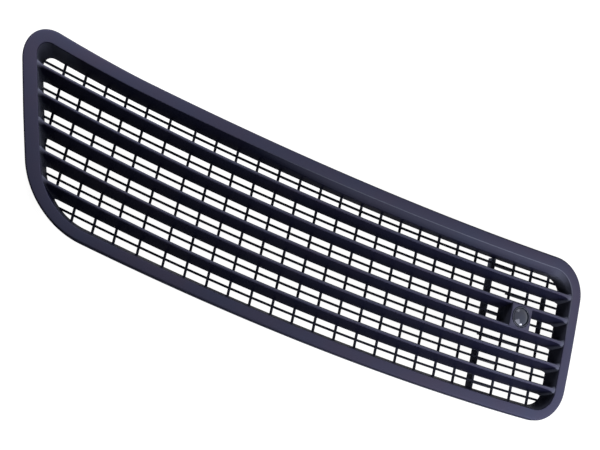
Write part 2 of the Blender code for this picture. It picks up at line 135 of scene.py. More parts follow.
# Lattice
BARS = 25
BAR_PITCH = 0.0220
MIDDLE_BAR = 13
OUTER_BARS = 5
OUTER_PITCH = 0.0212
WIDE_CELLS = (0.0238, 0.0256)
STIFF_BAR = 22
STIFF_BAR_EXTRA = 0.0020
BAR_WIDTH = 0.0025
WIRE_WIDTH = 0.0022
LATTICE_THICKNESS = 0.0019
LATTICE_REAR_GAP = 0.0003
BAR_STATIONS = 30
WIRE_STATIONS = 140

# Boss and washer jet
BOSS_X = 0.2272
BOSS_WIDTH = 0.0243
BOSS_PROUD = 0.0002
BOSS_DRAFT = 0.0012
BOSS_CORNER = 0.0010
SOCKET_FLOOR = 0.0020
BORE_RADIUS = 0.0042
SOCKET_RADIUS = 0.0106
SOCKET_DEPTH = 0.0090
CLEARANCE = 0.0003
DOME_RADIUS = 0.0082
DOME_RISE = 0.0022
JET_COLLAR_WIDTH = 0.0014
JET_COLLAR_PROUD = 0.0006
JET_GROOVE_DEPTH = 0.0012
NIPPLE_RADIUS = 0.0030
NIPPLE_LENGTH = 0.0170

# Ribs behind the lattice and clips under the rim
STIFF_RIB_DEPTH = 0.0090
STIFF_RIB_GAP = (-0.020, 0.003)
SIDE_BAR = 25
SIDE_RIB_DEPTH = 0.0040
HOSE_CLIP_WIDTH = 0.0080
RUNG_DEPTH = 0.0050
RUNG_BAYS = ((0, 1, 2, 3, 5), (2, 4))
RIB_WIDTH = 0.0017
CLIP_X = (-0.190, -0.060, 0.070, 0.180)
CLIP_WIDTH = 0.0120
CLIP_THICKNESS = 0.0020
CLIP_LENGTH = 0.0170
CLIP_HOOK = 0.0022
CLIP_HOOK_HEIGHT = 0.0050

# Small rounds, the steps of what is curved, and the angle from which an edge stays sharp
MOULD_ROUND = 0.0004
MOULD_STEPS = 3
MIDDLE_OF_ROUND = 0.3
ARC_STEPS = 20
SIDE_STEPS = 14
LONG_STEPS = 90
SQUARE_CORNER_STEPS = 8
JET_STEPS = 96
DOME_ARC = (0.03, 0.1, 0.2, 0.3, 0.4, 0.5, 0.6, 0.7, 0.8, 0.9, 1.0)
SHARP_DEGREES = 38.0

# Longer than the grille, so that a ray always reaches the inner wall
RAY_LENGTH = 2.0

# Plastics: scales of patterns per metre, and spans and pairs of colours between which the patterns vary
FULL = (0.0, 1.0)
CLOUD_SPAN = (0.3, 0.7)
CLOUD_SCALE = 22.0
GRAIN_SCALE = 1500.0
LEATHER_SCALE = 1100.0
GRAIN_STRENGTH = 0.35
GRAIN_DEPTH = 0.00006
GRAINED_ROUGHNESS = (0.48, 0.58)
GRAINED_SPECULAR = 0.008
GRAINED_TINT = (0.75, 0.80, 1.0)
# Painted shade and painted light: the dark pair where the plastic faces away or lies deep, the paler pair
# where it faces up at the front
PAINTED_SHADE_COLOURS = ((0.0080, 0.0078, 0.0200), (0.0072, 0.0084, 0.0215))
PAINTED_LIGHT_COLOURS = ((0.060, 0.055, 0.094), (0.052, 0.056, 0.100))
# Paler colour of edge wear, of painted highlights and of painted light
WEAR_AND_HIGHLIGHT_COLOUR = (0.12, 0.13, 0.18)
# Spans of facing up and of height below the outer face over which the painted light takes over from the
# painted shade
PAINTED_LIGHT_FROM_FACING = (0.35, 0.92)
PAINTED_LIGHT_FROM_HEIGHT = (-0.012, -0.003)
# Sharp edges take the paler colour: partly edge wear, partly a painted highlight
EDGE_POINTINESS = (0.52, 0.56)
EDGE_WEAR_AND_HIGHLIGHT = 0.6
JET_CLOUD_SCALE = 90.0
PEEL_SCALE = 700.0
PEEL_STRENGTH = 0.2
PEEL_DEPTH = 0.00004
JET_ROUGHNESS = (0.09, 0.15)
JET_SPECULAR = 0.75
JET_TINT = (0.82, 0.84, 1.0)
JET_COLOURS = ((0.010, 0.013, 0.026), (0.015, 0.020, 0.038))

# Floor, camera, and lamps as name, place, what it points at, width and watts
FLOOR_SIZE = 6.0
FLOOR_DROP = 0.0002
FLOOR_GREY = 0.22
FLOOR_GLOW = 0.96
SKY_LIGHT = 0.03
LAMPS = (
    ("key", (0.42, -0.40, 0.52), (0.22, -0.05, 0.03), 0.48, 2.6),
    ("rear", (0.40, 0.85, 0.75), (0.05, 0.0, 0.03), 0.45, 1.3),
    ("right", (0.70, -0.42, 0.22), (0.24, -0.06, 0.03), 0.25, 5.0),
    ("left", (-0.36, 0.42, 0.28), (-0.25, 0.10, 0.03), 0.25, 2.6),
)
CAMERA_LENS = 83.49
CAMERA_SHIFT = 0.5 / 600.0
CAMERA_PLACE = (-0.300238, -0.294843, 1.293038)
CAMERA_TURN = (
    (0.938636, -0.264676, -0.221152),
    (0.215173, 0.950474, -0.224276),
    (0.26956, 0.162927, 0.949101),
)


# Finishes


def node(tree, kind, **settings):
    made = tree.nodes.new(kind)
    for name, value in settings.items():
        setattr(made, name, value)
    return made


def noise(tree, coordinates, scale, detail, roughness=0.5):
    """Cloudy pattern between 0 and 1, with its scale per metre."""
    made = node(tree, "ShaderNodeTexNoise")
    made.inputs["Scale"].default_value = scale
    made.inputs["Detail"].default_value = detail
    made.inputs["Roughness"].default_value = roughness
    tree.links.new(coordinates, made.inputs["Vector"])
    return made.outputs["Fac"]


def ramp(tree, value, start, end):
    """Carries a value from one span to another."""
    made = node(tree, "ShaderNodeMapRange")
    for name, stop in zip(("From Min", "From Max", "To Min", "To Max"), (*start, *end)):
        made.inputs[name].default_value = stop
    tree.links.new(value, made.inputs["Value"])
    return made.outputs["Result"]


def combined(tree, operation, first, second):
    """Two outputs added, multiplied or compared."""
    made = node(tree, "ShaderNodeMath", operation=operation)
    tree.links.new(first, made.inputs[0])
    tree.links.new(second, made.inputs[1])
    return made.outputs["Value"]


def mixed_colour(tree, factor, first, second):
    """Goes from the first colour to the second; each is a colour or another node's output."""
    made = node(tree, "ShaderNodeMix", data_type="RGBA")
    for socket, colour in ((made.inputs[6], first), (made.inputs[7], second)):
        if isinstance(colour, tuple):
            socket.default_value = (*colour, 1.0)
        else:
            tree.links.new(colour, socket)
    tree.links.new(factor, made.inputs[0])
    return made.outputs[2]


def new_plastic(name, specular, tint):
    """Plain plastic to build on: its material, tree and shader, and the place on the piece for patterns."""
    material = bpy.data.materials.new(name)
    material.use_nodes = True
    tree = material.node_tree
    shader = tree.nodes["Principled BSDF"]
    shader.inputs["Specular IOR Level"].default_value = specular
    shader.inputs["Specular Tint"].default_value = (*tint, 1.0)
    shader.inputs["Metallic"].default_value = 0.0
    return material, tree, shader, node(tree, "ShaderNodeTexCoord").outputs["Object"]


def emboss(tree, shader, relief, strength, depth):
    """Gives a surface a fine relief."""
    bump = node(tree, "ShaderNodeBump")
    bump.inputs["Strength"].default_value = strength
    bump.inputs["Distance"].default_value = depth
    tree.links.new(relief, bump.inputs["Height"])
    tree.links.new(bump.outputs["Normal"], shader.inputs["Normal"])


def painted_light_and_shade(tree):
    """How far the plastic takes its painted light: most where it faces up at the front; deep inside it keeps
    its painted shade.
    """
    facing = node(tree, "ShaderNodeSeparateXYZ")
    tree.links.new(node(tree, "ShaderNodeNewGeometry").outputs["Normal"], facing.inputs[0])
    height = node(tree, "ShaderNodeAttribute", attribute_name="height").outputs["Fac"]
    return combined(tree, "MULTIPLY", ramp(tree, facing.outputs["Z"], PAINTED_LIGHT_FROM_FACING, FULL),
                    ramp(tree, height, PAINTED_LIGHT_FROM_HEIGHT, FULL))


def moulded_plastic():
    """Dark violet-black plastic, finely grained as moulded, with painted light, shade and highlights, and
    edge wear.
    """
    material, tree, shader, place = new_plastic("moulded_plastic", GRAINED_SPECULAR, GRAINED_TINT)
    cloudy = noise(tree, place, CLOUD_SCALE, 3.0)
    patches = ramp(tree, cloudy, CLOUD_SPAN, FULL)
    # Sharp edges: partly edge wear, partly a painted highlight
    pointiness = node(tree, "ShaderNodeNewGeometry").outputs["Pointiness"]
    edge = ramp(tree, pointiness, EDGE_POINTINESS, (0.0, EDGE_WEAR_AND_HIGHLIGHT))
    # Painted highlights on the crest and the slat noses, and painted light on the end walls, as marked on
    # the pieces
    painted_light_mark = node(tree, "ShaderNodeAttribute", attribute_name="painted_light").outputs["Fac"]
    # Painted shade and painted light, mixed by how far the plastic faces up and how near it lies to the
    # front
    painted_dark = mixed_colour(tree, patches, *PAINTED_SHADE_COLOURS)
    painted_lit = mixed_colour(tree, patches, *PAINTED_LIGHT_COLOURS)
    base = mixed_colour(tree, painted_light_and_shade(tree), painted_dark, painted_lit)
    # Paler colour for edge wear, painted highlights and painted light
    worn_and_highlighted = mixed_colour(tree, combined(tree, "MAXIMUM", edge, painted_light_mark), base, WEAR_AND_HIGHLIGHT_COLOUR)
    tree.links.new(worn_and_highlighted, shader.inputs["Base Color"])
    tree.links.new(ramp(tree, cloudy, CLOUD_SPAN, GRAINED_ROUGHNESS), shader.inputs["Roughness"])
    grain = noise(tree, place, GRAIN_SCALE, 2.0, 0.6)
    leather = node(tree, "ShaderNodeTexVoronoi", feature="SMOOTH_F1")
    leather.inputs["Scale"].default_value = LEATHER_SCALE
    tree.links.new(place, leather.inputs["Vector"])
    relief = combined(tree, "ADD", grain, leather.outputs["Distance"])
    emboss(tree, shader, relief, GRAIN_STRENGTH, GRAIN_DEPTH)
    return material


def polished_plastic():
    """Smooth plastic of the jet, with the faintest orange peel."""
    material, tree, shader, place = new_plastic("polished_plastic", JET_SPECULAR, JET_TINT)
    cloudy = noise(tree, place, JET_CLOUD_SCALE, 3.0)
    base = mixed_colour(tree, ramp(tree, cloudy, CLOUD_SPAN, FULL), *JET_COLOURS)
    tree.links.new(base, shader.inputs["Base Color"])
    tree.links.new(ramp(tree, cloudy, CLOUD_SPAN, JET_ROUGHNESS), shader.inputs["Roughness"])
    emboss(tree, shader, noise(tree, place, PEEL_SCALE, 1.0), PEEL_STRENGTH, PEEL_DEPTH)
    return material


# The hood and the outlines


def ruling_lean(x):
    """How far the hood's straight rulings lean: along the slanted left edge there, upright at the right."""
    return EDGE_LEAN * (RIGHT_X - x) / (RIGHT_X - LEFT_X)


def hood_slope(x, across):
    """Rise of the outer face for each metre of x."""
    return -(x + ruling_lean(x) * across - CROWN_APEX_X) / CROWN_RADIUS


def on_hood(x, across, height):
    """Place on the bent hood of a point in the flat layout."""
    slope = hood_slope(x, across)
    normal = math.hypot(1.0, slope)
    y = SWEEP_SLOPE * x + x * x / (2.0 * SWEEP_RADIUS) + across
    z = -CROWN_RADIUS * slope * slope / 2.0
    return Vector((x - height * slope / normal, y, z + height / normal))


def frame_on_hood(x, across, height):
    """Place and turn of a rigid piece that sits square on the outer face."""
    slope = hood_slope(x, across)
    out = Vector((-slope, 0.0, 1.0)).normalized()
    along = Vector((0.0, 1.0, 0.0)).cross(out)
    turn = Matrix((along, Vector((0.0, 1.0, 0.0)), out)).transposed()
    return Matrix.Translation(on_hood(x, across, height)) @ turn.to_4x4()


def edges_moved(edges, inset):
    """The same outline further in, or further out where the inset is negative."""
    return {
        "left": edges["left"] + inset * math.hypot(1.0, EDGE_LEAN),
        "right": edges["right"] - inset,
        "bottom": edges["bottom"] + inset,
        "top": edges["top"] - inset,
        "radii": {corner: radius - inset for corner, radius in edges["radii"].items()},
        "flare": edges["flare"],
    }


OUTER = {"left": LEFT_X, "right": RIGHT_X, "bottom": BOTTOM_ACROSS, "top": TOP_ACROSS, "radii": OUTER_RADII,
         "flare": TOP_FLARE["outer"]}
APERTURE = {
    "left": LEFT_X + RIM_WIDTH["left"] * math.hypot(1.0, EDGE_LEAN),
    "right": RIGHT_X - RIM_WIDTH["right"],
    "bottom": BOTTOM_ACROSS + RIM_WIDTH["bottom"],
    "top": TOP_ACROSS - RIM_WIDTH["top"],
    "radii": APERTURE_RADII,
    "flare": TOP_FLARE["aperture"],
}
REAR = {
    "left": APERTURE["left"] + WALL_SLOPE["left"],
    "right": APERTURE["right"] - WALL_SLOPE["right"],
    "bottom": APERTURE["bottom"] + WALL_SLOPE["bottom"],
    "top": APERTURE["top"] - WALL_SLOPE["top"],
    "radii": REAR_RADII,
    "flare": TOP_FLARE["rear"],
}


def flare_at(point, flare):
    """How far the top edge lifts near the slanted end."""
    if point.y <= 0.0 or point.x >= FLARE_START_X:
        return 0.0
    return flare * ((FLARE_START_X - point.x) / FLARE_REACH) ** FLARE_POWER * point.y / TOP_ACROSS


def bow_at(point):
    """How far the right end draws in at its corners, which leaves it slightly bowed."""
    along = (point.x - (RIGHT_X - END_BOW_REACH)) / END_BOW_REACH
    if along <= 0.0:
        return 0.0
    return END_BOW * along * (point.y / (0.5 * (TOP_ACROSS - BOTTOM_ACROSS))) ** 2


def outline(edges, height):
    """Closed loop of points round an outline: four edges and four round corners."""
    def left_at(across):
        return edges["left"] - EDGE_LEAN * across

    corners = (
        ("bottom_left", Vector((left_at(edges["bottom"]), edges["bottom"])), LONG_STEPS),
        ("bottom_right", Vector((edges["right"], edges["bottom"])), SIDE_STEPS),
        ("top_right", Vector((edges["right"], edges["top"])), LONG_STEPS),
        ("top_left", Vector((left_at(edges["top"]), edges["top"])), SIDE_STEPS),
    )
    arcs = []
    for index, (name, corner, steps) in enumerate(corners):
        before = (corner - corners[index - 1][1]).normalized()
        after = (corners[(index + 1) % 4][1] - corner).normalized()
        turn = before.angle(after)
        radius = edges["radii"][name]
        start = corner - before * radius * math.tan(turn / 2.0)
        centre = start + Vector((-before.y, before.x)) * radius
        spoke = start - centre
        arc = []
        for step in range(ARC_STEPS + 1):
            angle = turn * step / ARC_STEPS
            cos, sin = math.cos(angle), math.sin(angle)
            arc.append(centre + Vector((spoke.x * cos - spoke.y * sin, spoke.x * sin + spoke.y * cos)))
        arcs.append((arc, steps))
    points = []
    for index, (arc, steps) in enumerate(arcs):
        points.extend(arc)
        following = arcs[(index + 1) % 4][0][0]
        for step in range(1, steps):
            points.append(arc[-1].lerp(following, step / steps))
    return [Vector((p.x - bow_at(p), p.y + flare_at(p, edges["flare"]), height)) for p in points]


def skinned(bm, loops, closed):
    """Skins a row of loops with the same number of points; a closed row joins its last loop to its first."""
    rings = [[bm.verts.new(point) for point in loop] for loop in loops]
    pairs = list(zip(rings, rings[1:]))
    if closed:
        pairs.append((rings[-1], rings[0]))
    else:
        bm.faces.new(rings[0])
        bm.faces.new(rings[-1])
    for ring, following in pairs:
        for index in range(len(ring)):
            other = (index + 1) % len(ring)
            bm.faces.new((ring[index], ring[other], following[other], following[index]))


def object_from(name, bm, material=None):
    """Makes an object of a mesh under construction, with all its faces turned outwards."""
    bmesh.ops.recalc_face_normals(bm, faces=bm.faces)
    mesh = bpy.data.meshes.new(name)
    bm.to_mesh(mesh)
    bm.free()
    made = bpy.data.objects.new(name, mesh)
    bpy.context.scene.collection.objects.link(made)
    if material:
        mesh.materials.append(material)
    return made


def smooth(made):
    """Shades a piece smooth, apart from its sharp edges."""
    made.data.shade_smooth()
    made.data.set_sharp_from_angle(angle=math.radians(SHARP_DEGREES))


def bent_to_hood(made, origin, place=None):
    """Bends a piece's mesh from the flat layout to the hood, or seats it rigidly, and notes its height."""
    # Height in the flat layout, which the material reads for its painted shade deep inside
    height = made.data.attributes.new("height", "FLOAT", "POINT")
    height.data.foreach_set("value", [vertex.co.z for vertex in made.data.vertices])
    for vertex in made.data.vertices:
        vertex.co = (on_hood(*vertex.co) if place is None else place @ vertex.co) + origin
    made.data.update()


def rounding(start, end, steps):
    """Quarter round from one (inset, height) pair to another: upright at the start, level at the end."""
    points = []
    for step in range(steps + 1):
        turn = math.pi / 2.0 * step / steps
        points.append((start[0] + (end[0] - start[0]) * (1.0 - math.cos(turn)),
                       start[1] + (end[1] - start[1]) * math.sin(turn)))
    return points


# Rim and inner walls


def shoulder_share(point):
    """How far the top wall has a shoulder below the rim: not at all at the left, fully at the right."""
    reach = min(max((point.x - SHOULDER_START_X) / SHOULDER_REACH, 0.0), 1.0)
    fade = min(max(point.y / SHOULDER_FADE, 0.0), 1.0)
    return reach * reach * (3.0 - 2.0 * reach) * fade


def wall_outline(height, gathered):
    """Inner wall at a height: it slopes evenly, or is the gathered share of its way in at the shoulder."""
    even = (height + INNER_ROUND) / (INNER_ROUND - DEPTH)
    loop = []
    for start, end in zip(outline(APERTURE, height), outline(REAR, height)):
        loop.append(start.lerp(end, even + (gathered - even) * shoulder_share(start)))
    return loop


def painted_light_share(step, point):
    """How far a point is painted lighter: a painted highlight on the crest of the mouth, painted light on
    the walls at the two ends.
    """
    crest = CREST_HIGHLIGHT[step] if step < len(CREST_HIGHLIGHT) else 0.0
    end = END_WALL_LIGHT if step in END_WALL_LOOPS else 0.0
    near_end = min(max((abs(point.x) - END_WALL_START_X) / END_WALL_REACH, 0.0), 1.0)
    return max(crest * shoulder_share(point), end * near_end)


def make_rim(material):
    """Skirt, rim and inner walls in one closed section, with its edges rounded as moulded."""
    edge = edges_moved(OUTER, FINISH_INSET)
    loops = [outline(edge, -SKIRT_DEPTH)]
    for inset, height in rounding((0.0, -OUTER_ROUND), (OUTER_ROUND, 0.0), OUTER_ROUND_STEPS):
        loops.append(outline(edges_moved(edge, inset), height))
    half_round = INNER_ROUND * (1.0 - math.sqrt(0.5))
    first_of_mouth = len(loops)
    for step in range(MOUTH_STEPS):
        angle = math.pi / 2.0 * step / (MOUTH_STEPS - 1)
        plain = outline(edges_moved(APERTURE, INNER_ROUND * (math.sin(angle) - 1.0)),
                        INNER_ROUND * (math.cos(angle) - 1.0))
        if step > MOUTH_STEPS // 2:
            run = INNER_ROUND * (angle - math.pi / 4.0) * math.sqrt(0.5)
            eased = outline(edges_moved(APERTURE, run - half_round), -half_round - run)
            plain = [point.lerp(other, shoulder_share(point)) for point, other in zip(plain, eased)]
        loops.append(plain)
    loops += [
        wall_outline(TOP_OF_WALL, TOP_OF_WALL_GATHERED),
        wall_outline(-SHOULDER_HEIGHT, SHOULDER_GATHERED),
        wall_outline(-SHOULDER_HEIGHT - SHOULDER_ROUND, 1.0),
        wall_outline(-SHOULDER_HEIGHT - 2.0 * SHOULDER_ROUND, 1.0),
        outline(REAR, BACK + 3.0 * MOULD_ROUND),
        outline(REAR, BACK + MOULD_ROUND),
        outline(edges_moved(REAR, -MOULD_ROUND), BACK),
        outline(edges_moved(REAR, -WALL), BACK),
        outline(edges_moved(APERTURE, -WALL), -WALL),
        outline(edges_moved(OUTER, WALL), -WALL),
        outline(edges_moved(OUTER, WALL), -SKIRT_DEPTH),
    ]
    bm = bmesh.new()
    skinned(bm, loops, closed=True)
    made = object_from("rim_and_walls", bm, material)
    # Painted highlight on the crest of the mouth and painted light on the end walls, kept on the mesh for
    # the material
    painted_light = made.data.attributes.new("painted_light", "FLOAT", "POINT")
    count = len(loops[0])
    for step in range(END_WALL_LOOPS.stop):
        for index, point in enumerate(loops[first_of_mouth + step]):
            painted_light.data[(first_of_mouth + step) * count + index].value = painted_light_share(step, point)
    return made


def make_wall_middle():
    """Sheet in the middle of the inner walls, which the louvres and the lattice run into."""
    half = WALL / 2.0
    bm = bmesh.new()
    above = outline(edges_moved(APERTURE, -half), WALL)
    below = outline(edges_moved(REAR, -half), -DEPTH - WALL)
    skinned(bm, [above, below], closed=False)
    bmesh.ops.triangulate(bm, faces=bm.faces)
    made = object_from("wall_middle", bm)
    made.hide_render = True
    return made


# Louvres and lattice


class Tree:
    """A Geometry Nodes tree under construction."""

    def __init__(self, name, inputs):
        self.group = bpy.data.node_groups.new(name, "GeometryNodeTree")
        self.group.interface.new_socket("Geometry", in_out="INPUT", socket_type="NodeSocketGeometry")
        self.keys = {}
        for label, kind, value in inputs:
            socket = self.group.interface.new_socket(label, in_out="INPUT", socket_type=kind)
            self.keys[label] = socket.identifier
            if value is not None:
                socket.default_value = value
        self.group.interface.new_socket("Geometry", in_out="OUTPUT", socket_type="NodeSocketGeometry")
        self.start = self.group.nodes.new("NodeGroupInput")
        self.end = self.group.nodes.new("NodeGroupOutput")

    def given(self, label):
        return self.start.outputs[label]

    def add(self, kind, settings=None, **inputs):
        made = self.group.nodes.new(kind)
        for name, value in (settings or {}).items():
            setattr(made, name, value)
        for name, value in inputs.items():
            self.feed(made.inputs[name.replace("_", " ")], value)
        return made

    def feed(self, socket, value):
        if isinstance(value, bpy.types.NodeSocket):
            self.group.links.new(value, socket)
        else:
            socket.default_value = value

    def math(self, operation, first, second=0.0, third=0.0):
        made = self.add("ShaderNodeMath", {"operation": operation})
        for socket, value in zip(made.inputs, (first, second, third)):
            self.feed(socket, value)
        return made.outputs[0]

    def vector(self, x, y, z):
        made = self.add("ShaderNodeCombineXYZ")
        for socket, value in zip(made.inputs, (x, y, z)):
            self.feed(socket, value)
        return made.outputs[0]

    def parts(self, vector):
        made = self.add("ShaderNodeSeparateXYZ")
        self.feed(made.inputs[0], vector)
        return made.outputs

    def wall_hit(self, sheet, source, direction):
        """Where a ray from a place meets the middle of the inner wall."""
        made = self.add("GeometryNodeRaycast", {"data_type": "FLOAT"})
        self.feed(made.inputs["Target Geometry"], sheet)
        self.feed(made.inputs["Source Position"], source)
        self.feed(made.inputs["Ray Direction"], direction)
        self.feed(made.inputs["Ray Length"], RAY_LENGTH)
        return self.parts(made.outputs["Hit Position"])

    def attribute(self, name, kind):
        return self.add("GeometryNodeInputNamedAttribute", {"data_type": kind}, Name=name).outputs[0]

    def mixed(self, share, low, high):
        """Number that lies a share of the way from one to another."""
        made = self.add("ShaderNodeMix", {"data_type": "FLOAT"})
        for index, value in ((0, share), (2, low), (3, high)):
            self.feed(made.inputs[index], value)
        return made.outputs[0]

    def path(self, start, end, stations):
        span = self.add("GeometryNodeCurvePrimitiveLine", Start=start, End=end).outputs[0]
        return self.add("GeometryNodeResampleCurve", Curve=span, Count=stations).outputs[0]

    def placed(self, instance, points):
        """A copy at each point."""
        copies = self.add("GeometryNodeInstanceOnPoints", Points=points, Instance=instance).outputs[0]
        return self.add("GeometryNodeRealizeInstances", Geometry=copies).outputs[0]

    def finish(self, geometry, material):
        real = self.add("GeometryNodeRealizeInstances", Geometry=geometry)
        painted = self.add("GeometryNodeSetMaterial", Geometry=real.outputs[0], Material=material)
        self.group.links.new(painted.outputs[0], self.end.inputs[0])


def grown(name, base, tree, values):
    """Runs a tree on an object and keeps the result as a plain mesh."""
    modifier = base.modifiers.new(name, "NODES")
    modifier.node_group = tree.group
    for label, value in values.items():
        modifier[tree.keys[label]] = value
    graph = bpy.context.evaluated_depsgraph_get()
    graph.update()
    mesh = bpy.data.meshes.new_from_object(base.evaluated_get(graph))
    base.modifiers.clear()
    mesh.name = name
    made = bpy.data.objects.new(name, mesh)
    bpy.context.scene.collection.objects.link(made)
    bpy.data.objects.remove(base, do_unlink=True)
    return made


def louvre_tree():
    """Sweeps the slat section between the end walls, once for each slat, twisted, flared and filleted."""
    inputs = [
        ("Count", "NodeSocketInt", SLATS),
        ("Pitch", "NodeSocketFloat", SLAT_PITCH),
        ("Top Slat", "NodeSocketFloat", 0.0),
        ("Depth", "NodeSocketFloat", DEPTH),
        ("Twist", "NodeSocketFloat", SLAT_TWIST),
        ("Twist Start", "NodeSocketFloat", SLAT_TWIST_START_X),
        ("Twist Ease", "NodeSocketFloat", SLAT_TWIST_EASE),
        ("Fillet", "NodeSocketFloat", SLAT_FILLET),
        ("Flare", "NodeSocketFloat", SLAT_FLARE),
        ("Flare Reach", "NodeSocketFloat", SLAT_FLARE_REACH),
        ("Half Wall", "NodeSocketFloat", WALL / 2.0),
        ("Stations", "NodeSocketInt", SLAT_STATIONS),
        ("Walls", "NodeSocketObject", None),
        ("Plastic", "NodeSocketMaterial", None),
    ]
    t = Tree("louvres", inputs)
    sheet = t.add("GeometryNodeObjectInfo", Object=t.given("Walls")).outputs["Geometry"]
    section = t.add("GeometryNodeMeshToCurve", Mesh=t.given("Geometry")).outputs[0]
    path = t.path((-0.5, 0.0, 0.0), (0.5, 0.0, 0.0), t.given("Stations"))
    slat = t.add("GeometryNodeCurveToMesh", Curve=path, Profile_Curve=section, Fill_Caps=True).outputs[0]
    step = t.vector(0.0, t.math("MULTIPLY", t.given("Pitch"), -1.0), 0.0)
    first = t.vector(0.0, t.given("Top Slat"), 0.0)
    seats = t.add("GeometryNodeMeshLine", Count=t.given("Count"), Start_Location=first, Offset=step)
    slats = t.placed(slat, seats.outputs[0])

    x, across, height = t.parts(t.add("GeometryNodeInputPosition").outputs[0])
    lift = t.math("ADD", t.math("DIVIDE", height, t.given("Depth")), 1.0)

    def twist(at):
        """How far a slat leans further over towards the slanted end: most at its nose, not at its tail."""
        reach = t.math("SUBTRACT", t.given("Twist Start"), at)
        ease = t.math("MULTIPLY", t.given("Twist Ease"), t.given("Twist Ease"))
        length = t.math("SQRT", t.math("MULTIPLY_ADD", reach, reach, ease))
        rise = t.math("MULTIPLY", t.math("ADD", reach, length), 0.5)
        return t.math("MULTIPLY", t.math("MULTIPLY", rise, t.given("Twist")), lift)

    middle = t.vector(0.0, across, height)
    rough_left = t.wall_hit(sheet, middle, (-1.0, 0.0, 0.0))[0]
    turned = t.vector(0.0, t.math("ADD", across, twist(rough_left)), height)
    left = t.wall_hit(sheet, turned, (-1.0, 0.0, 0.0))[0]
    right = t.wall_hit(sheet, middle, (1.0, 0.0, 0.0))[0]
    new_x = t.mixed(t.math("ADD", x, 0.5), left, right)
    to_end = t.math("SUBTRACT", t.math("SUBTRACT", right, t.given("Half Wall")), new_x)
    along_flare = t.math("SUBTRACT", 1.0, t.math("DIVIDE", to_end, t.given("Flare Reach")))
    bent = t.math("MAXIMUM", along_flare, 0.0)
    flare = t.math("MULTIPLY", t.math("MULTIPLY", t.math("MULTIPLY", bent, bent), t.given("Flare")), lift)
    under = t.attribute("under", "FLOAT")
    turned_across = t.math("ADD", across, twist(new_x))
    new_across = t.math("SUBTRACT", turned_across, t.math("MULTIPLY", flare, under))

    from_left = t.math("SUBTRACT", t.math("SUBTRACT", new_x, left), t.given("Half Wall"))
    from_right = t.math("SUBTRACT", t.math("SUBTRACT", right, new_x), t.given("Half Wall"))
    from_wall = t.math("MAXIMUM", t.math("MINIMUM", from_left, from_right), 0.0)
    inside = t.math("MAXIMUM", t.math("SUBTRACT", t.given("Fillet"), from_wall), 0.0)
    square = t.math("SUBTRACT", t.math("MULTIPLY", t.given("Fillet"), t.given("Fillet")),
                    t.math("MULTIPLY", inside, inside))
    swell = t.math("SUBTRACT", t.given("Fillet"), t.math("SQRT", t.math("MAXIMUM", square, 0.0)))
    out_across = t.parts(t.attribute("outward", "FLOAT_VECTOR"))[1]
    moved = t.vector(new_x, t.math("MULTIPLY_ADD", out_across, swell, new_across), height)
    shaped = t.add("GeometryNodeSetPosition", Geometry=slats, Position=moved).outputs[0]
    t.finish(shaped, t.given("Plastic"))
    return t


def bar_x(index):
    """Middle of an upright bar, where bar 1 is at the left: narrower cells first, then two wider ones."""
    first_even = OUTER_BARS + len(WIDE_CELLS)
    x = BAR_PITCH * (max(index, first_even) - MIDDLE_BAR)
    if index < first_even:
        x -= sum(WIDE_CELLS[max(index, OUTER_BARS) - OUTER_BARS:])
    if index < OUTER_BARS:
        x -= OUTER_PITCH * (OUTER_BARS - index)
    if index > STIFF_BAR:
        x += STIFF_BAR_EXTRA
    return x


def slat_across(index):
    """Middle of a slat's nose; slat 0 is the top one."""
    return MIDDLE_ACROSS + SLAT_PITCH * ((SLATS - 1) / 2.0 - index)


def wire_across(index):
    """Middle of a cross wire, half-way between two slats; wire 0 is the lowest."""
    return MIDDLE_ACROSS + SLAT_PITCH * (index - SLATS / 2.0)


def between(start, end, share):
    """Point that lies a share of the way from one point to another."""
    return tuple(a + (b - a) * share for a, b in zip(start, end))


def make_louvres(material, walls):
    """Five inclined slats with round noses, swept along the hood and filleted into the end walls."""
    half = SLAT_NOSE / 2.0
    tail = -DEPTH + LATTICE_REAR_GAP + LATTICE_THICKNESS - SLAT_SEAT
    nose = [math.pi * step / NOSE_STEPS for step in range(NOSE_STEPS + 1)]
    section = [(-half * math.cos(angle), -NOSE_RECESS - half + half * math.sin(angle)) for angle in nose]
    face = section[-1], (-SLAT_RAKE + SLAT_TAIL, tail)
    back = section[0], (-SLAT_RAKE, tail)
    section += [between(*face, FACE_MARGIN), between(*face, 1.0 - FACE_MARGIN), face[1], back[1],
                between(*back, 1.0 - FACE_MARGIN), between(*back, FACE_MARGIN)]
    bm = bmesh.new()
    points = [bm.verts.new((-across, -height, 0.0)) for across, height in section]
    for index, point in enumerate(points):
        bm.edges.new((point, points[(index + 1) % len(points)]))
    mesh = bpy.data.meshes.new("louvre_section")
    bm.to_mesh(mesh)
    bm.free()
    outward = mesh.attributes.new("outward", "FLOAT_VECTOR", "POINT")
    for index in range(len(section)):
        before, after = section[index - 1], section[(index + 1) % len(section)]
        tangent = Vector((after[0] - before[0], after[1] - before[1])).normalized()
        outward.data[index].vector = (0.0, -tangent.y, tangent.x)
    low_side = [min(max(0.5 - across / SLAT_NOSE, 0.0), 1.0) for across, _ in section]
    mesh.attributes.new("under", "FLOAT", "POINT").data.foreach_set("value", low_side)
    # Painted highlight along the upper side of each slat's nose
    crest_across = half / 4.0
    crest = [NOSE_HIGHLIGHT * max(1.0 - abs(across - crest_across) / (half / 2.0), 0.0) for across, _ in section]
    mesh.attributes.new("painted_light", "FLOAT", "POINT").data.foreach_set("value", crest)
    base = bpy.data.objects.new("louvre_section", mesh)
    bpy.context.scene.collection.objects.link(base)
    return grown("louvres", base, louvre_tree(),
                 {"Top Slat": slat_across(0), "Walls": walls, "Plastic": material})


